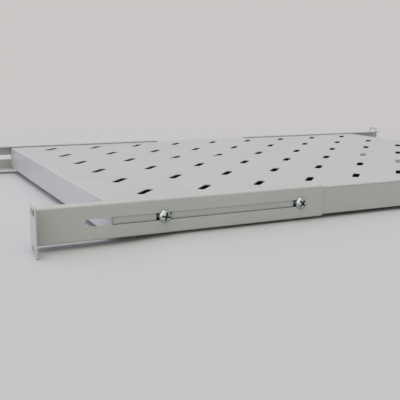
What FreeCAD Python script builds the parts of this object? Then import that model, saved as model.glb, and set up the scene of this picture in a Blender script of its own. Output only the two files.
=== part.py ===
import FreeCAD, Part
import math
import os

# Perforated shelf for a nineteen-inch rack. A folded sheet-steel tray is held at its four corners
# by C-shaped rails that end in mounting ears. Two screws clamp each rail to the tray's side through
# a long slot, so the rail slides in and out to meet the posts of the rack.
#
# Millimetres. +X runs across the shelf, +Y from its front to its rear and +Z up. The origin lies on
# the surface that the ears stand on, in the middle of the shelf's outline.

# Rack interface
PANEL_WIDTH = 482.6
HOLE_INSET = 8.75
HOLE_ROW_SPACING = 31.75
HOLE_EDGE = 5.925
EAR_SLOT_LENGTH = 12.0
EAR_SLOT_WIDTH = 7.0
EAR_REACH = 19.3
EAR_CORNER = 2.0

# Sheet metal
TRAY_SHEET = 1.2
RAIL_SHEET = 1.2
FOLD_RADIUS = 0.5
FOLD_RELIEF = 2.0

# Tray
TRAY_DEPTH = 620.0
TRAY_HEIGHT = 29.0
END_HEIGHT = 30.0
END_RETURN = 10.0
CORNER_SLIT = 0.8
SIDE_HOLE_LENGTH = 15.0
SIDE_HOLE_HEIGHT = 7.5

# Perforation of the deck
VENT_LENGTH = 30.0
VENT_WIDTH = 7.5
VENT_ANGLE = 135.0
VENT_PITCH_ACROSS = 70.0
VENT_PITCH_ALONG = 65.0
VENT_MARGIN = 40.0

# Rails
RAIL_LIP = 12.0
RAIL_LEDGE = 18.0
SLOT_LEAD = 46.7
SLOT_TAIL = 24.7
SLIDE_TRAVEL = 72.0

# Fasteners
SCREW_DIAMETER = 6.0
SCREW_LENGTH = 12.0
HEAD_DIAMETER = 12.0
HEAD_CROWN = 8.4
HEAD_HEIGHT = 4.6
HEAD_RIM = 1.6
RECESS_SPAN = 6.9
RECESS_FLOOR = 2.6
RECESS_WING = 1.3
RECESS_DEPTH = 3.0
NUT_ACROSS_FLATS = 10.0
NUT_HEIGHT = 5.0
SCREW_DROP = 14.6
SCREW_INSET = 50.0
SCREW_SPACING = 150.0

# Clearances
SLIDE_GAP = 0.3
SLOT_GAP = 0.3
LEDGE_GAP = 1.0
THREAD_GAP = 0.06
HEAD_GAP = 0.1

# Sizes that follow
TRAY_BEND = FOLD_RADIUS + TRAY_SHEET
RAIL_BEND = FOLD_RADIUS + RAIL_SHEET
EAR_HEIGHT = HOLE_ROW_SPACING + 2 * HOLE_EDGE
RAIL_HEIGHT = RAIL_SHEET + FOLD_RADIUS + TRAY_HEIGHT + SLIDE_GAP + RAIL_SHEET
RAIL_BOTTOM = (EAR_HEIGHT - RAIL_HEIGHT) / 2
RAIL_TOP = RAIL_BOTTOM + RAIL_HEIGHT
TRAY_TOP = RAIL_TOP - RAIL_SHEET - SLIDE_GAP
TRAY_BOTTOM = TRAY_TOP - TRAY_HEIGHT
END_BOTTOM = TRAY_TOP - END_HEIGHT
SCREW_LEVEL = TRAY_TOP - SCREW_DROP

RAIL_FACE = PANEL_WIDTH / 2 - EAR_REACH
TRAY_SIDE = RAIL_FACE - RAIL_SHEET - SLIDE_GAP
HOLE_COLUMN = PANEL_WIDTH / 2 - HOLE_INSET

SLOT_HEIGHT = SCREW_DIAMETER + 2 * SLOT_GAP
SLOT_LENGTH = SCREW_SPACING + SLIDE_TRAVEL + SLOT_HEIGHT
RAIL_LENGTH = SLOT_LEAD + SLOT_LENGTH + SLOT_TAIL
RAIL_REACH = SLOT_LEAD + SLOT_LENGTH - SLOT_HEIGHT / 2 - SCREW_INSET - SCREW_SPACING

REAR_EAR = TRAY_DEPTH / 2 + RAIL_REACH
FRONT_EAR = -REAR_EAR
TRAY_FRONT = TRAY_DEPTH / -2
TRAY_REAR = TRAY_DEPTH / 2

ORIGIN = FreeCAD.Vector(0, 0, 0)
ALONG_X = FreeCAD.Vector(1, 0, 0)
ALONG_Y = FreeCAD.Vector(0, 1, 0)
ALONG_Z = FreeCAD.Vector(0, 0, 1)


def across(x, z):
    """Point of a section that is square to the shelf's depth."""
    return FreeCAD.Vector(x, 0, z)


def along(y, z):
    """Point of a section that is square to the shelf's width."""
    return FreeCAD.Vector(0, y, z)


def flat(x, y):
    """Point of a level section."""
    return FreeCAD.Vector(x, y, 0)


def folded_strip(corners, sheet):
    """Section of a folded sheet whose convex side runs through the corners, rounded at each fold."""
    radius = FOLD_RADIUS + sheet
    edges = []
    start = corners[0]
    for before, fold, after in zip(corners, corners[1:], corners[2:]):
        back = (before - fold).normalize()
        ahead = (after - fold).normalize()
        half_turn = (math.pi - back.getAngle(ahead)) / 2
        tangent = radius * math.tan(half_turn)
        sagitta = radius / math.cos(half_turn) - radius
        first = fold + back * tangent
        middle = fold + (back + ahead).normalize() * sagitta
        last = fold + ahead * tangent
        edges.append(Part.LineSegment(start, first).toShape())
        edges.append(Part.Arc(first, middle, last).toShape())
        start = last
    edges.append(Part.LineSegment(start, corners[-1]).toShape())
    strips = [Part.Wire(edges).makeOffset2D(side * sheet, 0, True, True) for side in (-1, 1)]
    return min(strips, key=lambda strip: strip.Area)


def obround(length, width, depth):
    """Prism with round ends, centred on the origin, as long as it is along X and as deep along Z."""
    radius = width / 2
    reach = length / 2 - radius
    low = depth / -2
    right_low = FreeCAD.Vector(reach, -radius, low)
    right_tip = FreeCAD.Vector(reach + radius, 0, low)
    right_high = FreeCAD.Vector(reach, radius, low)
    left_high = FreeCAD.Vector(-reach, radius, low)
    left_tip = FreeCAD.Vector(-reach - radius, 0, low)
    left_low = FreeCAD.Vector(-reach, -radius, low)
    outline = Part.Wire([
        Part.LineSegment(left_low, right_low).toShape(),
        Part.Arc(right_low, right_tip, right_high).toShape(),
        Part.LineSegment(right_high, left_high).toShape(),
        Part.Arc(left_high, left_tip, left_low).toShape(),
    ])
    return Part.Face(outline).extrude(ALONG_Z * depth)


def pattern_places(extent, pitch):
    """Evenly pitched places, centred on zero, as many as the margin leaves room for."""
    count = int((extent - 2 * VENT_MARGIN) / pitch) + 1
    return [(index - (count - 1) / 2) * pitch for index in range(count)]


def deck_vents():
    """Cutters of the slanted slots, in rows and columns over the deck."""
    vents = []
    for x in pattern_places(2 * TRAY_SIDE, VENT_PITCH_ACROSS):
        for y in pattern_places(TRAY_DEPTH, VENT_PITCH_ALONG):
            vent = obround(VENT_LENGTH, VENT_WIDTH, 2 * TRAY_HEIGHT)
            vent.rotate(ORIGIN, ALONG_Z, VENT_ANGLE)
            vent.translate(FreeCAD.Vector(x, y, TRAY_TOP))
            vents.append(vent)
    return vents


def screw_places():
    """Distance of each rail screw from the end of the tray, by name."""
    return {"outer": SCREW_INSET, "inner": SCREW_INSET + SCREW_SPACING}


def tray_screw_holes():
    """Cutters of the oblong holes through both sides of the tray, which leave the screws some play."""
    holes = []
    for inset in screw_places().values():
        for y in (TRAY_FRONT + inset, TRAY_REAR - inset):
            start = y - SIDE_HOLE_LENGTH / 2
            foot = SCREW_LEVEL - SIDE_HOLE_HEIGHT / 2
            corner = FreeCAD.Vector(-RAIL_FACE, start, foot)
            holes.append(Part.makeBox(2 * RAIL_FACE, SIDE_HOLE_LENGTH, SIDE_HOLE_HEIGHT, corner))
    return holes


def corner_tongues():
    """Stretches that carry each side's flange on past its fold, to close the corner but for a slit."""
    length = TRAY_BEND - CORNER_SLIT
    height = TRAY_HEIGHT - TRAY_BEND
    tongues = []
    for x in (-TRAY_SIDE, TRAY_SIDE - TRAY_SHEET):
        for y in (TRAY_FRONT + CORNER_SLIT, TRAY_REAR - TRAY_BEND):
            corner = FreeCAD.Vector(x, y, TRAY_BOTTOM)
            tongues.append(Part.makeBox(TRAY_SHEET, length, height, corner))
    return tongues


def ledge_notches():
    """Cutters that clear the lower corners of the tray's ends, where the rails' ledges slide in below."""
    inner = RAIL_FACE - RAIL_LEDGE - LEDGE_GAP
    notches = []
    for x in (-TRAY_SIDE, inner):
        for y in (TRAY_FRONT, TRAY_REAR - END_RETURN):
            corner = FreeCAD.Vector(x, y, END_BOTTOM)
            notches.append(Part.makeBox(TRAY_SIDE - inner, END_RETURN, TRAY_BEND, corner))
    return notches


def tray_end(edge, inwards):
    """Flange folded down at one end of the deck, with a return folded in along its foot."""
    half = TRAY_SIDE - TRAY_BEND
    section = folded_strip([
        along(edge + inwards * END_RETURN, END_BOTTOM),
        along(edge, END_BOTTOM),
        along(edge, TRAY_TOP),
        along(edge + inwards * 2 * TRAY_BEND, TRAY_TOP),
    ], TRAY_SHEET)
    section.translate(ALONG_X * -half)
    return section.extrude(ALONG_X * (2 * half)).cut(ledge_notches())


def shelf_tray():
    """Deck with a flange folded down on each side and at each end, and slit corners."""
    sides = folded_strip([
        across(-TRAY_SIDE, TRAY_BOTTOM),
        across(-TRAY_SIDE, TRAY_TOP),
        across(TRAY_SIDE, TRAY_TOP),
        across(TRAY_SIDE, TRAY_BOTTOM),
    ], TRAY_SHEET)
    sides.translate(ALONG_Y * (TRAY_FRONT + TRAY_BEND))
    tray = sides.extrude(ALONG_Y * (TRAY_DEPTH - 2 * TRAY_BEND))
    ends = [tray_end(TRAY_FRONT, 1), tray_end(TRAY_REAR, -1)]
    tray = tray.fuse(ends + corner_tongues()).removeSplitter()
    return tray.cut(deck_vents() + tray_screw_holes())


def ear():
    """Plate folded outwards from the front of a right-hand rail, with its front face at zero."""
    web_end = RAIL_BEND + FOLD_RELIEF
    section = folded_strip([
        flat(RAIL_FACE - RAIL_SHEET, web_end),
        flat(RAIL_FACE - RAIL_SHEET, 0),
        flat(PANEL_WIDTH / 2, 0),
    ], RAIL_SHEET)
    plate = section.extrude(ALONG_Z * EAR_HEIGHT)
    for level in (0, RAIL_TOP):
        corner = FreeCAD.Vector(RAIL_FACE - RAIL_SHEET, 0, level)
        notch = Part.makeBox(RAIL_SHEET + FOLD_RADIUS, web_end, RAIL_BOTTOM, corner)
        plate = plate.cut(notch)
    tips = [edge for edge in plate.Edges
            if edge.BoundBox.XMin > PANEL_WIDTH / 2 - EAR_CORNER and edge.BoundBox.ZLength < EAR_CORNER
            and edge.BoundBox.YLength > RAIL_SHEET / 2]
    plate = plate.makeFillet(EAR_CORNER, tips)
    for side in (-1, 1):
        slot = obround(EAR_SLOT_LENGTH, EAR_SLOT_WIDTH, 4 * RAIL_SHEET)
        slot.rotate(ORIGIN, ALONG_X, 90)
        level = EAR_HEIGHT / 2 + side * HOLE_ROW_SPACING / 2
        slot.translate(FreeCAD.Vector(HOLE_COLUMN, 0, level))
        plate = plate.cut(slot)
    return plate


def right_hand_rail():
    """C-shaped rail for the front right corner, with the front face of its ear at zero."""
    channel = folded_strip([
        across(RAIL_FACE - RAIL_LIP, RAIL_TOP),
        across(RAIL_FACE, RAIL_TOP),
        across(RAIL_FACE, RAIL_BOTTOM),
        across(RAIL_FACE - RAIL_LEDGE, RAIL_BOTTOM),
    ], RAIL_SHEET)
    channel_start = RAIL_BEND + FOLD_RELIEF
    channel.translate(ALONG_Y * channel_start)
    rail = channel.extrude(ALONG_Y * (RAIL_LENGTH - channel_start))
    rail = rail.fuse(ear()).removeSplitter()
    slot = obround(SLOT_LENGTH, SLOT_HEIGHT, 4 * RAIL_SHEET)
    slot.rotate(ORIGIN, ALONG_Z, 90)
    slot.rotate(ORIGIN, ALONG_Y, 90)
    slot.translate(FreeCAD.Vector(RAIL_FACE, SLOT_LEAD + SLOT_LENGTH / 2, SCREW_LEVEL))
    return rail.cut(slot)


def cross_recess():
    """Cutter of the cross in a screw head, sunk from zero downwards."""
    half_top = RECESS_SPAN / 2
    half_floor = RECESS_FLOOR / 2
    wing = Part.Face(Part.makePolygon([
        across(-half_top, RECESS_DEPTH),
        across(half_top, RECESS_DEPTH),
        across(half_top, 0),
        across(half_floor, -RECESS_DEPTH),
        across(-half_floor, -RECESS_DEPTH),
        across(-half_top, 0),
        across(-half_top, RECESS_DEPTH),
    ]))
    wing.translate(ALONG_Y * (RECESS_WING / -2))
    wing = wing.extrude(ALONG_Y * RECESS_WING)
    other = wing.copy()
    other.rotate(ORIGIN, ALONG_Z, 90)
    return wing.fuse(other)


def pan_head_screw():
    """Screw that stands along Z, with the underside of its head at zero and its shank below."""
    shank = SCREW_DIAMETER / 2
    head = HEAD_DIAMETER / 2
    outline = Part.makePolygon([
        across(0, HEAD_HEIGHT),
        across(0, -SCREW_LENGTH),
        across(shank, -SCREW_LENGTH),
        across(shank, 0),
        across(head, 0),
        across(head, HEAD_RIM),
        across(HEAD_CROWN / 2, HEAD_HEIGHT),
        across(0, HEAD_HEIGHT),
    ])
    screw = Part.Face(outline).revolve(ORIGIN, ALONG_Z, 360)
    recess = cross_recess()
    recess.translate(ALONG_Z * HEAD_HEIGHT)
    return screw.cut(recess)


def hexagon_nut():
    """Nut that stands along Z, with its seat at zero and its body below."""
    corner = NUT_ACROSS_FLATS / math.sqrt(3)
    turns = [math.radians(60 * index) for index in range(7)]
    hexagon = Part.makePolygon([flat(corner * math.cos(turn), corner * math.sin(turn)) for turn in turns])
    body = Part.Face(hexagon).extrude(ALONG_Z * -NUT_HEIGHT)
    bore = SCREW_DIAMETER / 2 + THREAD_GAP
    return body.cut(Part.makeCylinder(bore, NUT_HEIGHT, ORIGIN, ALONG_Z * -1))


def place_at_corner(shape, side, end):
    """Moves a shape made for the front right, with the ear's face at Y zero, to one corner."""
    placed = shape.copy()
    if side == "left":
        placed = placed.mirror(ORIGIN, ALONG_X)
    if end == "rear":
        placed = placed.mirror(ORIGIN, ALONG_Y)
        return placed.translated(ALONG_Y * REAR_EAR)
    return placed.translated(ALONG_Y * FRONT_EAR)


def fastener_on_side(shape, seat, inset, side, end):
    """Turns a fastener that stands along Z to point out of the tray's side, and seats it there."""
    placed = shape.copy()
    placed.rotate(ORIGIN, ALONG_Y, 90)
    placed.translate(FreeCAD.Vector(seat, RAIL_REACH + inset, SCREW_LEVEL))
    return place_at_corner(placed, side, end)


def write_part(name, shape):
    """Writes one named piece."""
    shape.exportStep(os.path.join("parts", name + ".step"))


def main():
    os.makedirs("parts", exist_ok=True)
    write_part("shelf_tray", shelf_tray())
    rail = right_hand_rail()
    screw = pan_head_screw()
    nut = hexagon_nut()
    head_seat = RAIL_FACE + HEAD_GAP
    nut_seat = TRAY_SIDE - TRAY_SHEET
    for end in ("front", "rear"):
        for side in ("left", "right"):
            write_part(f"{end}_{side}_rail", place_at_corner(rail, side, end))
            for place, inset in screw_places().items():
                corner = f"{end}_{side}_{place}"
                write_part(corner + "_screw", fastener_on_side(screw, head_seat, inset, side, end))
                write_part(corner + "_nut", fastener_on_side(nut, nut_seat, inset, side, end))


main()
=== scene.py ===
"""Finishes a rack shelf: powder-coated sheet steel with softened edges, zinc-plated screws and nuts,
and a plain studio around it."""
import math

import bmesh
import bpy
from mathutils import Matrix, Vector


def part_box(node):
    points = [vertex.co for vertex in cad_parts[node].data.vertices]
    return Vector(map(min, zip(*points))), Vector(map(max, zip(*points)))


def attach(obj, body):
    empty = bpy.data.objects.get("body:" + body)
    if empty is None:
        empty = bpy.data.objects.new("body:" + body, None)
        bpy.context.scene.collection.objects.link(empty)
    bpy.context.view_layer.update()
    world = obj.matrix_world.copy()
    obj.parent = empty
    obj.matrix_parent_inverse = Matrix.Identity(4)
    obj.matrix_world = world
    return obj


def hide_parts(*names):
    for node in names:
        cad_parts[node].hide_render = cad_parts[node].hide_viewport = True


bl_info = {
    "name": "Rack Shelf Finish",
    "version": (1, 0, 0),
    "blender": (4, 5, 0),
    "location": "View3D > Sidebar > Rack Shelf",
    "description": "Coats the shelf's sheet metal, makes its screws and nuts, and sets up the studio",
    "category": "Object",
}

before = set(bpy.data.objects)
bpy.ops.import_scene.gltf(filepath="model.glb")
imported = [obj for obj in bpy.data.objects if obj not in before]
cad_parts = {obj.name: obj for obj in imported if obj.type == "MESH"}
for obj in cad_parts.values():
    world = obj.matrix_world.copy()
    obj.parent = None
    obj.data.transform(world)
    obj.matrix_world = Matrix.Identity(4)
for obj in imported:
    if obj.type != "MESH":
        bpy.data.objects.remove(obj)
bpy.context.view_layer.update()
MM = 0.001

# How the CAD's pieces are named
TRAY = "shelf_tray"
CORNERS = [(end, side) for end in ("front", "rear") for side in ("left", "right")]
PLACES = ("outer", "inner")

# Second material of a screw (its recess, partly painted shade), of a rail (painted shade along its slot) and
# of the floor (the card of painted shade)
RECESS_SLOT = 1
SLOT_SHADE_SLOT = 1
SHADE_CARD_SLOT = 1

# Welding, bevels and shading
MERGE = 0.001 * MM
FLAT_BEND = math.radians(0.5)
NO_MATERIAL = -1
ROUND_PROFILE = 0.5
STUB_RADII = 2
SHEET_CORNER = math.radians(60)
SCREW_CORNER = math.radians(35)
NUT_CORNER = math.radians(25)
LARGE_FACES_FIRST = 100

# Powder coat: drift of the film's thickness, and depth of its orange peel
FILM_DRIFT = 60 * MM
FILM_RAMP = (0.35, 0.65)
FILM_TONES = (0.975, 1.02)
PEEL_ROUGHNESS = 0.05
PEEL_BUMP = 0.12
PEEL_HEIGHT = 0.05 * MM
POLYESTER_IOR = 1.5

# Zinc plate: spots of the passivate, and scratches from the plating barrel
SPOT_SIZE = 1.5 * MM
SPOT_RAMP = (0.3, 0.6)
SPOT_TONES = (0.85, 1.0)
SPOT_BUMP = 0.1
SPOT_HEIGHT = 0.03 * MM
SCRATCH_SPACING = 0.2 * MM
SCRATCH_ROUGHNESS = (-0.06, 0.08)

# Painted shade along the lower edge of a rail's slot, as dull dark steel: streaks that run along the slot
STREAK_WIDTH = 0.3 * MM
STREAK_LENGTH = 6 * MM
STREAK_TONES = (1.0, 1.3)

# Paper and card
MATT = {"Roughness": 0.9, "Specular IOR Level": 0.1}

# Lower edge of a rail's slot, which takes the painted shade: the shares of the rail's height that it lies
# between, and how far it faces up
SLOT_FOOT = (0.25, 0.5)
FACES_UP = 0.3

# Screw head
HEAD_STEPS = 48
DOME_RINGS = 7
SHOULDER_RINGS = 5

# Thread, in shares of its pitch and steps to a turn, and the blunt point at its end
THREAD_DEPTH = 0.54
CREST_START = 0.44
CREST_END = 0.56
THREAD_LEAD = 1.5
THREAD_STEPS = 24
SPARE_TURNS = 2
POINT_LENGTH = 0.6 * MM
POINT_TAPER = 0.8
TRIM_SLACK = 0.0001 * MM
LEVEL_SLACK = 0.01 * MM

# Nut: cuts across each flat, and where the chamfer starts as a share of the width across flats
NUT_FLATS = 6
FLAT_CUTS = 7
CHAMFER_START = 0.47

# Floor: its fine middle, where its rise is full and where it ends, and the painted shade card's distance
# inside the tray
FLOOR_STEPS = 160
FLOOR_NEAR = 0.5
FLOOR_SPREAD = 9
SWELL_SIDES = (0.24, 0.42)
SWELL_ENDS = (0.235, 0.309)
SHADE_CARD_INSET = 15 * MM

# Camera
SENSOR_WIDTH = 36
CLIP_START = 0.01


# Sizes and colours that a user would change

class SheetSettings(bpy.types.PropertyGroup):
    """Powder-coated sheet metal of the tray and the rails."""

    tray_colour: bpy.props.StringProperty(
        name="Tray Colour", description="Paint of the tray, as an sRGB hex value", default="BABCBC")
    rail_colour: bpy.props.StringProperty(
        name="Rail Colour", description="Paint of the rails, as an sRGB hex value", default="BABCBA")
    edge_radius: bpy.props.FloatProperty(
        name="Edge Radius", description="Rounding that the coat gives to a cut edge",
        default=0.25 * MM, subtype="DISTANCE", unit="LENGTH", precision=5)
    edge_segments: bpy.props.IntProperty(
        name="Edge Segments", description="Flats across a rounded edge", default=2, min=1)
    edge_angle: bpy.props.FloatProperty(
        name="Edge Angle", description="Sharpest bend that still counts as smooth",
        default=math.radians(40), subtype="ANGLE")
    peel_size: bpy.props.FloatProperty(
        name="Orange Peel", description="Width of one ripple of the coat",
        default=1.6 * MM, subtype="DISTANCE", unit="LENGTH", precision=5)
    gloss_roughness: bpy.props.FloatProperty(
        name="Roughness", description="Roughness of the satin coat",
        default=0.34, min=0, max=1, subtype="FACTOR")
    # Painted shade: the dark steel along a slot's lower edge stands in for the shade there
    slot_shade_colour: bpy.props.StringProperty(
        name="Slot Shade Colour", description="Painted shade of dark steel along a slot's lower edge, as an sRGB hex value",
        default="4A4B4B")
    slot_shade_roughness: bpy.props.FloatProperty(
        name="Slot Shade Roughness", description="Roughness of the painted shade along a slot",
        default=0.5, min=0, max=1, subtype="FACTOR")


class ScrewSettings(bpy.types.PropertyGroup):
    """Pan-head screws that clamp the rails."""

    head_diameter: bpy.props.FloatProperty(
        name="Head Diameter", description="Across the rim of the head",
        default=12 * MM, subtype="DISTANCE", unit="LENGTH", precision=5)
    head_height: bpy.props.FloatProperty(
        name="Head Height", description="From the seat to the crown",
        default=4.6 * MM, subtype="DISTANCE", unit="LENGTH", precision=5)
    shoulder: bpy.props.FloatProperty(
        name="Shoulder", description="Radius of the rounded shoulder between the rim and the crown",
        default=2.2 * MM, subtype="DISTANCE", unit="LENGTH", precision=5)
    dome_radius: bpy.props.FloatProperty(
        name="Dome Radius", description="Radius of the crown's dome",
        default=7.2 * MM, subtype="DISTANCE", unit="LENGTH", precision=5)
    seat_chamfer: bpy.props.FloatProperty(
        name="Seat Chamfer", description="Broken edge round the seat",
        default=0.15 * MM, subtype="DISTANCE", unit="LENGTH", precision=5)
    recess_span: bpy.props.FloatProperty(
        name="Recess Span", description="Across the wings of the cross recess",
        default=9.0 * MM, subtype="DISTANCE", unit="LENGTH", precision=5)
    recess_wing: bpy.props.FloatProperty(
        name="Wing Width", description="Width of one wing of the recess",
        default=1.8 * MM, subtype="DISTANCE", unit="LENGTH", precision=5)
    recess_depth: bpy.props.FloatProperty(
        name="Recess Depth", description="From the crown to the floor of the recess",
        default=3.2 * MM, subtype="DISTANCE", unit="LENGTH", precision=5)
    recess_taper: bpy.props.FloatProperty(
        name="Recess Taper", description="Size of the recess's floor as a share of its mouth",
        default=0.7, min=0, max=1, subtype="FACTOR")
    first_turn: bpy.props.FloatProperty(
        name="First Turn", description="How far the first screw is turned",
        default=math.radians(-33), subtype="ANGLE")
    next_turn: bpy.props.FloatProperty(
        name="Next Turn", description="How much further each next screw is turned",
        default=math.radians(56), subtype="ANGLE")
    thread_diameter: bpy.props.FloatProperty(
        name="Thread Diameter", description="Across the crests of the thread",
        default=6 * MM, subtype="DISTANCE", unit="LENGTH", precision=5)
    thread_pitch: bpy.props.FloatProperty(
        name="Thread Pitch", description="From one crest to the next",
        default=1 * MM, subtype="DISTANCE", unit="LENGTH", precision=5)
    colour: bpy.props.StringProperty(
        name="Zinc Colour", description="Bright zinc plating, as an sRGB hex value", default="CBD4D3")
    roughness: bpy.props.FloatProperty(
        name="Roughness", description="Roughness of the plating",
        default=0.16, min=0, max=1, subtype="FACTOR")
    # The recess colour is partly painted shade: darker than thin, oily plating alone, for the shade in the
    # cross recess
    recess_oil_and_shade_colour: bpy.props.StringProperty(
        name="Recess Colour", description="Thin, oily plating in the recess with painted shade, as an sRGB hex value",
        default="5E6365")
    recess_roughness: bpy.props.FloatProperty(
        name="Recess Roughness", description="Roughness of the plating in the recess",
        default=0.45, min=0, max=1, subtype="FACTOR")


class NutSettings(bpy.types.PropertyGroup):
    """Hexagon nuts behind the tray's sides."""

    across_flats: bpy.props.FloatProperty(
        name="Across Flats", description="Width of the hexagon",
        default=10 * MM, subtype="DISTANCE", unit="LENGTH", precision=5)
    bore_radius: bpy.props.FloatProperty(
        name="Bore Radius", description="Radius of the bore that the screw passes through",
        default=3.06 * MM, subtype="DISTANCE", unit="LENGTH", precision=5)
    countersink: bpy.props.FloatProperty(
        name="Countersink", description="Widening of the bore at each face",
        default=0.5 * MM, subtype="DISTANCE", unit="LENGTH", precision=5)
    chamfer_angle: bpy.props.FloatProperty(
        name="Chamfer Angle", description="Slope of the chamfer on the corners",
        default=math.radians(30), subtype="ANGLE")
    # The nuts' zinc is partly painted shade: duller than the screws, and darker still for the shade inside
    # the tray
    colour: bpy.props.StringProperty(
        name="Zinc Colour", description="Zinc plating of the nuts, as an sRGB hex value", default="9A9EA0")
    roughness: bpy.props.FloatProperty(
        name="Roughness", description="Roughness of the nuts' plating",
        default=0.4, min=0, max=1, subtype="FACTOR")


class StageSettings(bpy.types.PropertyGroup):
    """Floor, light and camera."""

    floor_colour: bpy.props.StringProperty(
        name="Floor Colour", description="Paper under the shelf, as an sRGB hex value", default="C4C4C5")
    # Painted shade: a dark card under the deck, where the floor lies in the tray's shade
    shade_card_colour: bpy.props.StringProperty(
        name="Shade Card Colour", description="Dark card of painted shade on the paper under the deck, as an sRGB hex value",
        default="444445")
    back_colour: bpy.props.StringProperty(
        name="Back Colour", description="Paper behind the shelf as the camera sees it, as an sRGB hex value",
        default="CCC6C6")
    back_start: bpy.props.FloatProperty(
        name="Back Start",
        description="How far behind the shelf's middle the floor starts to turn into the back",
        default=0.3, subtype="DISTANCE", unit="LENGTH")
    back_full: bpy.props.FloatProperty(
        name="Back Full", description="How far behind the shelf's middle the back is fully reached",
        default=1.2, subtype="DISTANCE", unit="LENGTH")
    back_softness: bpy.props.FloatProperty(
        name="Back Softness", description="How gradually the room turns into the back, from its sides",
        default=0.4, min=0.01, max=1, subtype="FACTOR")
    floor_reach: bpy.props.FloatProperty(
        name="Floor Reach", description="Reach of the paper on every side",
        default=12.0, subtype="DISTANCE", unit="LENGTH")
    floor_swell: bpy.props.FloatProperty(
        name="Floor Swell", description="How far the paper rises between the ears, clear of the shelf",
        default=3.2 * MM, subtype="DISTANCE", unit="LENGTH", precision=5)
    camera_place: bpy.props.FloatVectorProperty(
        name="Camera Place", description="Where the camera stands",
        default=(0.7618, -0.5000, 0.1572), subtype="TRANSLATION", unit="LENGTH", precision=4)
    camera_azimuth: bpy.props.FloatProperty(
        name="Camera Azimuth", description="Turn of the view from straight along the shelf's depth",
        default=math.radians(62.93), subtype="ANGLE")
    camera_tilt: bpy.props.FloatProperty(
        name="Camera Tilt", description="How far the camera looks down",
        default=math.radians(11.5), subtype="ANGLE")
    camera_roll: bpy.props.FloatProperty(
        name="Camera Roll", description="Lean of the picture",
        default=math.radians(0.84), subtype="ANGLE")
    camera_lens: bpy.props.FloatProperty(
        name="Lens", description="Focal length for a frame 36 mm wide",
        default=59.71, subtype="DISTANCE_CAMERA", unit="CAMERA")
    room_strength: bpy.props.FloatProperty(
        name="Room Light", description="Strength of the soft light from all round", default=0.685, min=0)
    room_lean: bpy.props.FloatVectorProperty(
        name="Room Lean", description="How much brighter the room is towards each axis",
        default=(-0.06, -0.95, 0.55), subtype="XYZ")
    room_least: bpy.props.FloatProperty(
        name="Room Least", description="Strength of the room where it is darkest", default=0.15, min=0)
    warm_from: bpy.props.FloatVectorProperty(
        name="Warm From", description="Direction in which the room is warm; the other way it is cool",
        default=(0.8, 0.6, 0.0), subtype="DIRECTION")
    warm_colour: bpy.props.StringProperty(
        name="Warm Colour", description="Tint of the room's warm side, as an sRGB hex value",
        default="FDFAE4")
    cool_colour: bpy.props.StringProperty(
        name="Cool Colour", description="Tint of the room's cool side, as an sRGB hex value",
        default="EAECFF")
    lamp_strength: bpy.props.FloatProperty(
        name="Lamp", description="Strength of the soft lamp overhead", default=0.6, min=0)
    lamp_from: bpy.props.FloatVectorProperty(
        name="Lamp From", description="Direction that the lamp's light comes from",
        default=(-0.1, -0.1, 0.98), subtype="DIRECTION")
    lamp_spread: bpy.props.FloatProperty(
        name="Lamp Spread", description="How wide the lamp looks from the shelf",
        default=math.radians(26), subtype="ANGLE")


SETTINGS = {
    "shelf_sheet": SheetSettings,
    "shelf_screw": ScrewSettings,
    "shelf_nut": NutSettings,
    "shelf_stage": StageSettings,
}


# Shared helpers

def linear_colour(hex_value, share=1.0):
    """Linear RGBA of an sRGB hex value, times a share of its brightness. The curve is the standard's own."""
    channels = [int(hex_value[place:place + 2], 16) / 255 for place in (0, 2, 4)]
    linear = [c / 12.92 if c <= 0.04045 else ((c + 0.055) / 1.055) ** 2.4 for c in channels]
    return (*(c * share for c in linear), 1.0)


def add_node(tree, kind, settings=None, values=None, links=None):
    """Adds a node, sets its attributes and inputs, and links other nodes' outputs to its inputs."""
    node = tree.nodes.new(kind)
    for name, value in (settings or {}).items():
        setattr(node, name, value)
    for name, value in (values or {}).items():
        node.inputs[name].default_value = value
    for name, output in (links or {}).items():
        tree.links.new(output, node.inputs[name])
    return node


def new_material(name):
    """Empty node material, its tree and its output node."""
    material = bpy.data.materials.new(name)
    material.use_nodes = True
    tree = material.node_tree
    tree.nodes.clear()
    return material, tree, add_node(tree, "ShaderNodeOutputMaterial")


def new_piece(name, mesh, body, node):
    """Links a finished mesh at the origin, and has it ride on a body in place of a CAD node."""
    mesh.name = name
    piece = bpy.data.objects.new(name, mesh)
    bpy.context.scene.collection.objects.link(piece)
    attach(piece, body)
    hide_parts(node)
    return piece


def mesh_from(bm, name):
    """Turns a bmesh into a mesh whose faces are smooth and point outwards, and frees it."""
    bmesh.ops.recalc_face_normals(bm, faces=bm.faces)
    for face in bm.faces:
        face.smooth = True
    mesh = bpy.data.meshes.new(name)
    bm.to_mesh(mesh)
    bm.free()
    return mesh


def keep_flats_flat(piece):
    """Weights a piece's normals by face area, so that flats stay flat beside their rounded edges."""
    weighted = piece.modifiers.new("flat_faces", "WEIGHTED_NORMAL")
    weighted.keep_sharp = True
    weighted.weight = LARGE_FACES_FIRST


# Materials

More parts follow.
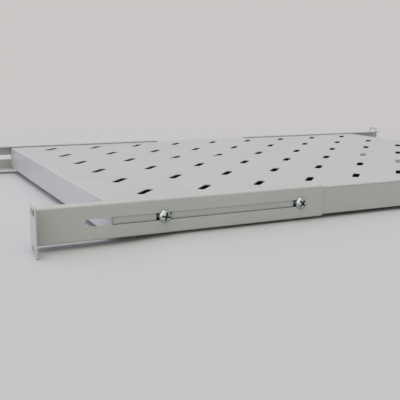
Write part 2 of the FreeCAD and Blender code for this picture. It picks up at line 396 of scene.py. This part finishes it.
def powder_coat(name, colour, settings):
    """Polyester powder coat on steel, baked to a satin skin: an even grey with a fine orange peel that
    breaks up reflections, slightly cloudy in tone where the film is thicker."""
    material, tree, output = new_material(name)
    place = add_node(tree, "ShaderNodeTexCoord").outputs["Object"]
    film = add_node(tree, "ShaderNodeTexNoise", values={"Scale": 1 / FILM_DRIFT, "Detail": 2.0},
                    links={"Vector": place})
    tone = add_node(tree, "ShaderNodeValToRGB", links={"Fac": film.outputs["Fac"]})
    for stop, position, share in zip(tone.color_ramp.elements, FILM_RAMP, FILM_TONES):
        stop.position = position
        stop.color = linear_colour(colour, share)
    peel = add_node(tree, "ShaderNodeTexNoise", values={"Scale": 1 / settings.peel_size, "Detail": 1.0},
                    links={"Vector": place})
    rough = add_node(tree, "ShaderNodeMapRange", links={"Value": peel.outputs["Fac"]}, values={
        "To Min": settings.gloss_roughness - PEEL_ROUGHNESS,
        "To Max": settings.gloss_roughness + PEEL_ROUGHNESS})
    bump = add_node(tree, "ShaderNodeBump", links={"Height": peel.outputs["Fac"]},
                    values={"Strength": PEEL_BUMP, "Distance": PEEL_HEIGHT})
    coat = add_node(tree, "ShaderNodeBsdfPrincipled", values={"IOR": POLYESTER_IOR}, links={
        "Base Color": tone.outputs["Color"], "Roughness": rough.outputs["Result"],
        "Normal": bump.outputs["Normal"]})
    tree.links.new(coat.outputs["BSDF"], output.inputs["Surface"])
    return material


def zinc_plate(name, colour, roughness):
    """Electroplated zinc with a clear blue passivate: a bright grey metal whose shine is broken by faint
    cloudy spots and fine scratches from tumbling in the plating barrel."""
    material, tree, output = new_material(name)
    place = add_node(tree, "ShaderNodeTexCoord").outputs["Object"]
    spots = add_node(tree, "ShaderNodeTexNoise", values={"Scale": 1 / SPOT_SIZE, "Detail": 3.0},
                     links={"Vector": place})
    tone = add_node(tree, "ShaderNodeValToRGB", links={"Fac": spots.outputs["Fac"]})
    for stop, position, share in zip(tone.color_ramp.elements, SPOT_RAMP, SPOT_TONES):
        stop.position = position
        stop.color = linear_colour(colour, share)
    scratch = add_node(tree, "ShaderNodeTexNoise", values={"Scale": 1 / SCRATCH_SPACING, "Detail": 2.0},
                       links={"Vector": place})
    smoother, rougher = SCRATCH_ROUGHNESS
    rough = add_node(tree, "ShaderNodeMapRange", links={"Value": scratch.outputs["Fac"]},
                     values={"To Min": roughness + smoother, "To Max": roughness + rougher})
    bump = add_node(tree, "ShaderNodeBump", links={"Height": spots.outputs["Fac"]},
                    values={"Strength": SPOT_BUMP, "Distance": SPOT_HEIGHT})
    zinc = add_node(tree, "ShaderNodeBsdfPrincipled", values={"Metallic": 1.0}, links={
        "Base Color": tone.outputs["Color"], "Roughness": rough.outputs["Result"],
        "Normal": bump.outputs["Normal"]})
    tree.links.new(zinc.outputs["BSDF"], output.inputs["Surface"])
    return material


def painted_shade_steel(name, settings):
    """Painted shade for the lower edge of a rail's slot, as dark, dull steel streaked along the slot."""
    material, tree, output = new_material(name)
    place = add_node(tree, "ShaderNodeTexCoord").outputs["Object"]
    along = add_node(tree, "ShaderNodeMapping", links={"Vector": place},
                     values={"Scale": (1 / STREAK_WIDTH, 1 / STREAK_LENGTH, 1 / STREAK_WIDTH)})
    streak = add_node(tree, "ShaderNodeTexNoise", values={"Scale": 1.0, "Detail": 2.0},
                      links={"Vector": along.outputs["Vector"]})
    tone = add_node(tree, "ShaderNodeValToRGB", links={"Fac": streak.outputs["Fac"]})
    for stop, share in zip(tone.color_ramp.elements, STREAK_TONES):
        stop.color = linear_colour(settings.slot_shade_colour, share)
    steel = add_node(tree, "ShaderNodeBsdfPrincipled", links={"Base Color": tone.outputs["Color"]},
                     values={"Metallic": 1.0, "Roughness": settings.slot_shade_roughness})
    tree.links.new(steel.outputs["BSDF"], output.inputs["Surface"])
    return material


def share_behind(tree, place, first, last, settings):
    """Share, from 0 to 1, by which a place or a direction lies behind the shelf, along the line on which
    the photograph was taken."""
    ahead = (-math.sin(settings.camera_azimuth), math.cos(settings.camera_azimuth), 0)
    depth = add_node(tree, "ShaderNodeVectorMath", {"operation": "DOT_PRODUCT"}, {1: ahead}, {0: place})
    share = add_node(tree, "ShaderNodeMapRange", {"interpolation_type": "SMOOTHSTEP"},
                     {"From Min": first, "From Max": last}, {"Value": depth.outputs["Value"]})
    return share.outputs["Result"]


def show_back(tree, share, lit, settings):
    """Mixes the back's even colour over a lit shader, for the camera and for reflections alone."""
    back = add_node(tree, "ShaderNodeEmission", values={"Color": linear_colour(settings.back_colour)})
    ray = add_node(tree, "ShaderNodeLightPath")
    mirrored = add_node(tree, "ShaderNodeMath", {"operation": "MAXIMUM"},
                        links={0: ray.outputs["Is Glossy Ray"], 1: ray.outputs["Is Transmission Ray"]})
    seen = add_node(tree, "ShaderNodeMath", {"operation": "MAXIMUM"},
                    links={0: ray.outputs["Is Camera Ray"], 1: mirrored.outputs["Value"]})
    part = add_node(tree, "ShaderNodeMath", {"operation": "MULTIPLY"},
                    links={0: share, 1: seen.outputs["Value"]})
    mixed = add_node(tree, "ShaderNodeMixShader",
                     links={0: part.outputs["Value"], 1: lit, 2: back.outputs["Emission"]})
    return mixed.outputs["Shader"]


def studio_paper(name, settings):
    """Matt background paper: a pale grey floor that takes the shelf's shadow and runs into an even, warmer
    grey behind it, which the camera and shiny surfaces see as it is written."""
    material, tree, output = new_material(name)
    floor = add_node(tree, "ShaderNodeBsdfPrincipled",
                     values={"Base Color": linear_colour(settings.floor_colour), **MATT})
    place = add_node(tree, "ShaderNodeTexCoord").outputs["Object"]
    share = share_behind(tree, place, settings.back_start, settings.back_full, settings)
    paper = show_back(tree, share, floor.outputs["BSDF"], settings)
    tree.links.new(paper, output.inputs["Surface"])
    return material


def painted_shade_card(name, settings):
    """Painted shade: a matt dark grey card laid under the deck, so that the deck's slots read dark."""
    material, tree, output = new_material(name)
    card = add_node(tree, "ShaderNodeBsdfPrincipled",
                    values={"Base Color": linear_colour(settings.shade_card_colour), **MATT})
    tree.links.new(card.outputs["BSDF"], output.inputs["Surface"])
    return material


# Sheet metal

def edges_to_round(bm, settings):
    """Outer edges of a cut sheet, without the stubs that run into an inner corner, where a bevel would
    fold over."""
    bends = {edge: edge.calc_face_angle_signed() for edge in bm.edges}
    inner = {vert for edge, bend in bends.items() if bend < -settings.edge_angle for vert in edge.verts}
    stub = STUB_RADII * settings.edge_radius
    return [edge for edge, bend in bends.items() if bend > settings.edge_angle
            and (edge.calc_length() > stub or not inner.intersection(edge.verts))]


def coated_sheet(node, paint, settings):
    """Copy of a CAD node's mesh with its cut edges rounded by the coat."""
    bm = bmesh.new()
    bm.from_mesh(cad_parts[node].data)
    bmesh.ops.remove_doubles(bm, verts=bm.verts, dist=MERGE)
    bmesh.ops.dissolve_limit(bm, angle_limit=FLAT_BEND, verts=bm.verts, edges=bm.edges)
    rounded = edges_to_round(bm, settings)
    bmesh.ops.bevel(bm, geom=rounded, offset=settings.edge_radius, offset_type="OFFSET", affect="EDGES",
                    segments=settings.edge_segments, profile=ROUND_PROFILE, material=NO_MATERIAL)
    mesh = mesh_from(bm, node)
    mesh.set_sharp_from_angle(angle=SHEET_CORNER)
    mesh.materials.append(paint)
    return mesh


def slot_foot(bm, low, high):
    """Faces of the lower edge of a rail's long slot. At that height of the rail nothing else faces up."""
    least, most = (low.z + share * (high.z - low.z) for share in SLOT_FOOT)
    return [face for face in bm.faces if face.normal.z > FACES_UP
            and least < face.calc_center_median().z < most]


def paint_slot_shade(mesh, node, steel):
    """Paints shade as dark steel on the lower edge of a rail's long slot where the tray lies behind it,
    split where the tray ends.
    """
    low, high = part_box(node)
    tray_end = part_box(TRAY)[1].y
    bm = bmesh.new()
    bm.from_mesh(mesh)
    foot = slot_foot(bm, low, high)
    edges = {edge for face in foot for edge in face.edges}
    verts = {vert for face in foot for vert in face.verts}
    bmesh.ops.bisect_plane(bm, geom=[*verts, *edges, *foot], dist=MERGE, plane_no=(0, 1, 0),
                           plane_co=(0, math.copysign(tray_end, low.y), 0))
    for face in slot_foot(bm, low, high):
        if abs(face.calc_center_median().y) < tray_end:
            face.material_index = SLOT_SHADE_SLOT
    bm.to_mesh(mesh)
    bm.free()
    mesh.materials.append(steel)


# Screws

def pan_head(bm, settings):
    """Revolves a pan head about Z, with its seat at zero, and leaves a hole in the seat for the shank. The
    crown's arc runs into the shoulder's without a kink, and the shoulder's into the straight rim."""
    rim = settings.head_diameter / 2
    dome = settings.dome_radius
    shoulder = settings.shoulder
    meeting = math.asin((rim - shoulder) / (dome - shoulder))
    dome_centre = settings.head_height - dome
    shoulder_centre = dome_centre + (dome - shoulder) * math.cos(meeting)
    profile = []
    for step in range(DOME_RINGS):
        angle = meeting * step / DOME_RINGS
        profile.append((dome * math.sin(angle), dome_centre + dome * math.cos(angle)))
    for step in range(SHOULDER_RINGS + 1):
        angle = meeting + (math.pi / 2 - meeting) * step / SHOULDER_RINGS
        profile.append((rim - shoulder + shoulder * math.sin(angle),
                        shoulder_centre + shoulder * math.cos(angle)))
    hole = settings.thread_diameter / 2 + settings.seat_chamfer
    profile += [(rim, settings.seat_chamfer), (rim - settings.seat_chamfer, 0), (hole, 0)]
    verts = [bm.verts.new((radius, 0, height)) for radius, height in profile]
    edges = [bm.edges.new(pair) for pair in zip(verts, verts[1:])]
    bmesh.ops.spin(bm, geom=verts + edges, cent=(0, 0, 0), axis=(0, 0, 1), angle=math.tau,
                   steps=HEAD_STEPS, use_merge=True)
    bmesh.ops.remove_doubles(bm, verts=bm.verts, dist=MERGE)


def cross_punch(settings):
    """Solid cross that sinks the recess: a square of nine cells without its corner cells, drawn out into
    four wings with steep walls, narrower at the floor."""
    bm = bmesh.new()
    half = settings.recess_span / 2
    wing = settings.recess_wing / 2
    bmesh.ops.create_grid(bm, x_segments=3, y_segments=3, size=half)
    for vert in bm.verts:
        vert.co.x = math.copysign(half if abs(vert.co.x) > half / 2 else wing, vert.co.x)
        vert.co.y = math.copysign(half if abs(vert.co.y) > half / 2 else wing, vert.co.y)
    corners = [face for face in bm.faces if min(abs(c) for c in face.calc_center_median().xy) > wing]
    bmesh.ops.delete(bm, geom=corners, context="FACES")
    floor = bmesh.ops.extrude_face_region(bm, geom=bm.faces[:])["geom"]
    floor = [item for item in floor if isinstance(item, bmesh.types.BMVert)]
    top = [vert for vert in bm.verts if vert not in floor]
    taper = settings.recess_taper
    bmesh.ops.scale(bm, vec=(taper, taper, 1), verts=floor)
    bmesh.ops.scale(bm, vec=(2 - taper, 2 - taper, 1), verts=top)
    bmesh.ops.translate(bm, vec=(0, 0, settings.head_height - settings.recess_depth), verts=floor)
    bmesh.ops.translate(bm, vec=(0, 0, settings.head_height + settings.recess_depth), verts=top)
    bmesh.ops.recalc_face_normals(bm, faces=bm.faces)
    for face in bm.faces:
        face.material_index = RECESS_SLOT
    return bm


def punched(bm, punch, materials):
    """Mesh of a body with the punch's shape sunk into it, which keeps the punch's material there."""
    blocks = []
    for name, shape in (("blank", bm), ("punch", punch)):
        mesh = mesh_from(shape, name)
        for material in materials:
            mesh.materials.append(material)
        block = bpy.data.objects.new(name, mesh)
        bpy.context.scene.collection.objects.link(block)
        blocks.append(block)
    blank, tool = blocks
    cut = blank.modifiers.new("cut", "BOOLEAN")
    cut.operation = "DIFFERENCE"
    cut.solver = "EXACT"
    cut.object = tool
    finished = bpy.data.meshes.new_from_object(
        blank.evaluated_get(bpy.context.evaluated_depsgraph_get()))
    for block in blocks:
        mesh = block.data
        bpy.data.objects.remove(block)
        bpy.data.meshes.remove(mesh)
    return finished


def threaded_shank(bm, length, settings):
    """Winds a thread down from above zero, trims it at zero and closes it with a blunt point. Returns the
    loop at the top."""
    crest = settings.thread_diameter / 2
    pitch = settings.thread_pitch
    root = crest - THREAD_DEPTH * pitch
    turns = math.ceil(length / pitch) + SPARE_TURNS
    profile = [(root, 0), (crest, -CREST_START * pitch), (crest, -CREST_END * pitch), (root, -pitch)]
    start = THREAD_LEAD * pitch
    verts = [bm.verts.new((radius, 0, start + height)) for radius, height in profile]
    edges = [bm.edges.new(pair) for pair in zip(verts, verts[1:])]
    bmesh.ops.spin(bm, geom=verts + edges, cent=(0, 0, 0), axis=(0, 0, 1), angle=math.tau * turns,
                   steps=THREAD_STEPS * turns, dvec=(0, 0, -pitch / THREAD_STEPS))
    bmesh.ops.remove_doubles(bm, verts=bm.verts, dist=MERGE)
    for height, normal in ((0, 1), (POINT_LENGTH - length, -1)):
        geometry = bm.verts[:] + bm.edges[:] + bm.faces[:]
        bmesh.ops.bisect_plane(bm, geom=geometry, dist=TRIM_SLACK, plane_co=(0, 0, height),
                               plane_no=(0, 0, normal), clear_outer=True)
    top = [edge for edge in bm.edges if edge.is_boundary
           and all(abs(vert.co.z) < LEVEL_SLACK for vert in edge.verts)]
    bottom = [edge for edge in bm.edges if edge.is_boundary and edge not in top]
    tip = bmesh.ops.extrude_edge_only(bm, edges=bottom)["geom"]
    tip_verts = [item for item in tip if isinstance(item, bmesh.types.BMVert)]
    bmesh.ops.scale(bm, vec=(POINT_TAPER, POINT_TAPER, 1), verts=tip_verts)
    bmesh.ops.translate(bm, vec=(0, 0, -POINT_LENGTH), verts=tip_verts)
    rim = [item for item in tip if isinstance(item, bmesh.types.BMEdge)]
    bmesh.ops.edgeloop_fill(bm, edges=[edge for edge in rim if edge.is_boundary])
    return top


def screw_mesh(length, materials, settings):
    """Whole screw that stands along Z, with its seat at zero."""
    bm = bmesh.new()
    top = threaded_shank(bm, length, settings)
    pan_head(bm, settings)
    seat = [edge for edge in bm.edges if edge.is_boundary and edge not in top]
    bmesh.ops.triangle_fill(bm, edges=top + seat, use_beauty=True)
    return punched(bm, cross_punch(settings), materials)


# Nuts

def nut_mesh(height, settings):
    """Hexagon nut along Z from zero to its height, chamfered at both faces, with a countersunk bore."""
    bm = bmesh.new()
    bmesh.ops.create_circle(bm, segments=NUT_FLATS, radius=settings.across_flats / math.sqrt(3))
    bmesh.ops.subdivide_edges(bm, edges=bm.edges, cuts=FLAT_CUTS)
    wall = bmesh.ops.extrude_edge_only(bm, edges=bm.edges[:])["geom"]
    upper = [item for item in wall if isinstance(item, bmesh.types.BMVert)]
    bmesh.ops.translate(bm, vec=(0, 0, height), verts=upper)
    chamfer_start = CHAMFER_START * settings.across_flats
    for vert in bm.verts:
        drop = max(0, vert.co.xy.length - chamfer_start) * math.tan(settings.chamfer_angle)
        vert.co.z += -drop if vert.co.z > height / 2 else drop
    mouth = settings.bore_radius + settings.countersink
    loops = []
    for level, inwards in ((0, 1), (height, -1)):
        outline = [edge for edge in bm.edges if edge.is_boundary
                   and abs(edge.verts[0].co.z - level) < height / 2]
        bore = (settings.bore_radius, level + inwards * settings.countersink)
        for radius, place in ((chamfer_start, level), (mouth, level), bore):
            loop = bmesh.ops.create_circle(bm, segments=NUT_FLATS * (FLAT_CUTS + 1), radius=radius,
                                           matrix=Matrix.Translation((0, 0, place)))["verts"]
            loop_edges = list({edge for vert in loop for edge in vert.link_edges})
            bmesh.ops.bridge_loops(bm, edges=outline + loop_edges)
            outline = loop_edges
        loops += outline
    bmesh.ops.bridge_loops(bm, edges=loops)
    return mesh_from(bm, "nut")


def on_side(node, turn):
    """Place of a fastener that stands along Z, turned about itself and laid out of the shelf's side."""
    low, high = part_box(node)
    centre = (low + high) / 2
    outwards = 1 if centre.x > 0 else -1
    seat = Vector((low.x if outwards > 0 else high.x, centre.y, centre.z))
    lay = Matrix.Rotation(outwards * math.pi / 2, 4, "Y") @ Matrix.Rotation(turn, 4, "Z")
    return Matrix.Translation(seat) @ lay


# Stage

def swell_share(distance, full, none):
    """Share of the floor's rise at a distance from the shelf's middle, from all of it smoothly to none."""
    share = min(max((none - distance) / (none - full), 0), 1)
    return share * share * (3 - 2 * share)


def lay_paper(scene, settings):
    """Floor of paper, finely divided near the shelf, that rises a little between the ears' places. The
    dark card of painted shade lies on it inside the tray's outline."""
    bm = bmesh.new()
    bmesh.ops.create_grid(bm, x_segments=FLOOR_STEPS, y_segments=FLOOR_STEPS, size=1)
    for vert in bm.verts:
        x, y = (c * FLOOR_NEAR + c ** FLOOR_SPREAD * (settings.floor_reach - FLOOR_NEAR)
                for c in vert.co.xy)
        rise = swell_share(abs(x), *SWELL_SIDES) * swell_share(abs(y), *SWELL_ENDS)
        vert.co = (x, y, rise * settings.floor_swell)
    tray_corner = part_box(TRAY)[1]
    # Painted shade: the faces under the deck take the dark card
    for face in bm.faces:
        place = face.calc_center_median()
        if abs(place.x) < tray_corner.x - SHADE_CARD_INSET and abs(place.y) < tray_corner.y - SHADE_CARD_INSET:
            face.material_index = SHADE_CARD_SLOT
    floor = bpy.data.objects.new("paper_floor", mesh_from(bm, "paper_floor"))
    scene.collection.objects.link(floor)
    floor.data.materials.append(studio_paper("matt_background_paper", settings))
    floor.data.materials.append(painted_shade_card("matt_dark_card", settings))


def light_room(scene, settings):
    """Soft room, brighter above and in front, warm on one side and cool on the other."""
    world = bpy.data.worlds.new("studio_room")
    world.use_nodes = True
    tree = world.node_tree
    tree.nodes.clear()
    direction = add_node(tree, "ShaderNodeTexCoord").outputs["Generated"]
    lean = add_node(tree, "ShaderNodeVectorMath", {"operation": "DOT_PRODUCT"},
                    {1: settings.room_lean}, {0: direction})
    level = add_node(tree, "ShaderNodeMath", {"operation": "MULTIPLY_ADD"},
                     {1: settings.room_strength, 2: settings.room_strength}, {0: lean.outputs["Value"]})
    strength = add_node(tree, "ShaderNodeMath", {"operation": "MAXIMUM"},
                        {1: settings.room_least}, {0: level.outputs["Value"]})
    warmth = add_node(tree, "ShaderNodeVectorMath", {"operation": "DOT_PRODUCT"},
                      {1: settings.warm_from}, {0: direction})
    side = add_node(tree, "ShaderNodeMapRange", values={"From Min": -1.0},
                    links={"Value": warmth.outputs["Value"]})
    tint = add_node(tree, "ShaderNodeValToRGB", links={"Fac": side.outputs["Result"]})
    for stop, colour in zip(tint.color_ramp.elements, (settings.cool_colour, settings.warm_colour)):
        stop.color = linear_colour(colour)
    room = add_node(tree, "ShaderNodeBackground",
                    links={"Color": tint.outputs["Color"], "Strength": strength.outputs["Value"]})
    share = share_behind(tree, direction, 0, settings.back_softness, settings)
    seen = show_back(tree, share, room.outputs["Background"], settings)
    add_node(tree, "ShaderNodeOutputWorld", links={"Surface": seen})
    scene.world = world


def hang_lamp(scene, settings):
    """One wide lamp overhead, which casts the shelf's soft shadow."""
    light = bpy.data.lights.new("soft_lamp", "SUN")
    light.energy = settings.lamp_strength
    light.angle = settings.lamp_spread
    lamp = bpy.data.objects.new("soft_lamp", light)
    lamp.rotation_mode = "QUATERNION"
    lamp.rotation_quaternion = Vector(settings.lamp_from).to_track_quat("Z", "Y")
    scene.collection.objects.link(lamp)


def stand_camera(scene, settings):
    """Camera where the photograph was taken from."""
    camera = bpy.data.objects.new("camera", bpy.data.cameras.new("camera"))
    camera.data.sensor_width = SENSOR_WIDTH
    camera.data.lens = settings.camera_lens
    camera.data.clip_start = CLIP_START
    level = math.cos(settings.camera_tilt)
    ahead = Vector((-math.sin(settings.camera_azimuth) * level, math.cos(settings.camera_azimuth) * level,
                    -math.sin(settings.camera_tilt)))
    look = ahead.to_track_quat("-Z", "Y").to_matrix().to_4x4()
    camera.matrix_world = (Matrix.Translation(settings.camera_place) @ look
                           @ Matrix.Rotation(settings.camera_roll, 4, "Z"))
    scene.collection.objects.link(camera)
    scene.camera = camera


# Operators

class SHELF_OT_coat_tray(bpy.types.Operator):
    """Gives the tray its powder coat and rounds its cut edges"""
    bl_idname = "shelf.coat_tray"
    bl_label = "Coat Tray"

    def execute(self, context):
        settings = context.scene.shelf_sheet
        paint = powder_coat("powder_coated_steel_tray", settings.tray_colour, settings)
        mesh = coated_sheet(TRAY, paint, settings)
        keep_flats_flat(new_piece("coated_tray", mesh, "tray", TRAY))
        return {"FINISHED"}


class SHELF_OT_coat_rails(bpy.types.Operator):
    """Gives the four rails their powder coat, rounds their cut edges and paints shade on their slots' lower
    edges
    """
    bl_idname = "shelf.coat_rails"
    bl_label = "Coat Rails"

    def execute(self, context):
        settings = context.scene.shelf_sheet
        paint = powder_coat("powder_coated_steel_rail", settings.rail_colour, settings)
        # Painted shade: dark steel along each slot's lower edge, where the tray lies behind it
        steel = painted_shade_steel("rubbed_steel_of_the_slot", settings)
        for end, side in CORNERS:
            rail = f"{end}_{side}_rail"
            mesh = coated_sheet(rail, paint, settings)
            paint_slot_shade(mesh, rail, steel)
            keep_flats_flat(new_piece("coated_" + rail, mesh, rail, rail))
        return {"FINISHED"}


class SHELF_OT_make_screws(bpy.types.Operator):
    """Makes the pan-head screws that clamp the rails"""
    bl_idname = "shelf.make_screws"
    bl_label = "Make Screws"

    def execute(self, context):
        settings = context.scene.shelf_screw
        zinc = zinc_plate("bright_zinc_plate", settings.colour, settings.roughness)
        # Recess material: thin, oily zinc, darkened further as painted shade in the cross recess
        oiled_and_shaded = zinc_plate("oiled_zinc_in_the_recess", settings.recess_oil_and_shade_colour, settings.recess_roughness)
        places = [(end, side, place) for end, side in CORNERS for place in PLACES]
        for index, (end, side, place) in enumerate(places):
            node = f"{end}_{side}_{place}_screw"
            low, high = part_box(node)
            length = high.x - low.x - settings.head_height
            mesh = screw_mesh(length, (zinc, oiled_and_shaded), settings)
            mesh.transform(Matrix.Translation((0, 0, length)))
            mesh.transform(on_side(node, settings.first_turn + settings.next_turn * index))
            mesh.set_sharp_from_angle(angle=SCREW_CORNER)
            new_piece("zinc_" + node, mesh, "tray", node)
        return {"FINISHED"}


class SHELF_OT_make_nuts(bpy.types.Operator):
    """Makes the hexagon nuts behind the tray's sides"""
    bl_idname = "shelf.make_nuts"
    bl_label = "Make Nuts"

    def execute(self, context):
        settings = context.scene.shelf_nut
        # Nut zinc: dull plating, darkened further as painted shade
        zinc = zinc_plate("dull_zinc_and_painted_shade_of_the_nut", settings.colour, settings.roughness)
        for end, side in CORNERS:
            for place in PLACES:
                node = f"{end}_{side}_{place}_nut"
                low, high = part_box(node)
                mesh = nut_mesh(high.x - low.x, settings)
                mesh.materials.append(zinc)
                mesh.transform(on_side(node, 0))
                mesh.set_sharp_from_angle(angle=NUT_CORNER)
                new_piece("zinc_" + node, mesh, "tray", node)
        return {"FINISHED"}


class SHELF_OT_set_stage(bpy.types.Operator):
    """Lays the paper and the card of painted shade, lights the room, hangs the lamp and stands the camera"""
    bl_idname = "shelf.set_stage"
    bl_label = "Set Stage"

    def execute(self, context):
        settings = context.scene.shelf_stage
        for prepare in (lay_paper, light_room, hang_lamp, stand_camera):
            prepare(context.scene, settings)
        context.scene.view_settings.view_transform = "Standard"
        return {"FINISHED"}


# Panel and registration

class SHELF_PT_finish(bpy.types.Panel):
    """Lists the steps that finish the shelf, with their settings"""
    bl_idname = "SHELF_PT_finish"
    bl_label = "Rack Shelf"
    bl_space_type = "VIEW_3D"
    bl_region_type = "UI"
    bl_category = "Rack Shelf"

    def draw(self, context):
        for step in STEPS:
            self.layout.operator(step.bl_idname)
        for name in SETTINGS:
            group = getattr(context.scene, name)
            column = self.layout.column()
            for value in group.bl_rna.properties.keys():
                if value not in {"rna_type", "name"}:
                    column.prop(group, value)


STEPS = (
    SHELF_OT_coat_tray,
    SHELF_OT_coat_rails,
    SHELF_OT_make_screws,
    SHELF_OT_make_nuts,
    SHELF_OT_set_stage,
)
CLASSES = (*SETTINGS.values(), *STEPS, SHELF_PT_finish)


def register():
    """Registers the classes and gives the scene its settings."""
    for cls in CLASSES:
        bpy.utils.register_class(cls)
    for name, group in SETTINGS.items():
        setattr(bpy.types.Scene, name, bpy.props.PointerProperty(type=group))


def unregister():
    """Takes the settings and the classes away again."""
    for name in SETTINGS:
        delattr(bpy.types.Scene, name)
    for cls in reversed(CLASSES):
        bpy.utils.unregister_class(cls)


def main():
    """Finishes the shelf step by step."""
    register()
    bpy.ops.shelf.coat_tray()
    bpy.ops.shelf.coat_rails()
    bpy.ops.shelf.make_screws()
    bpy.ops.shelf.make_nuts()
    bpy.ops.shelf.set_stage()


if __name__ == "__main__":
    main()
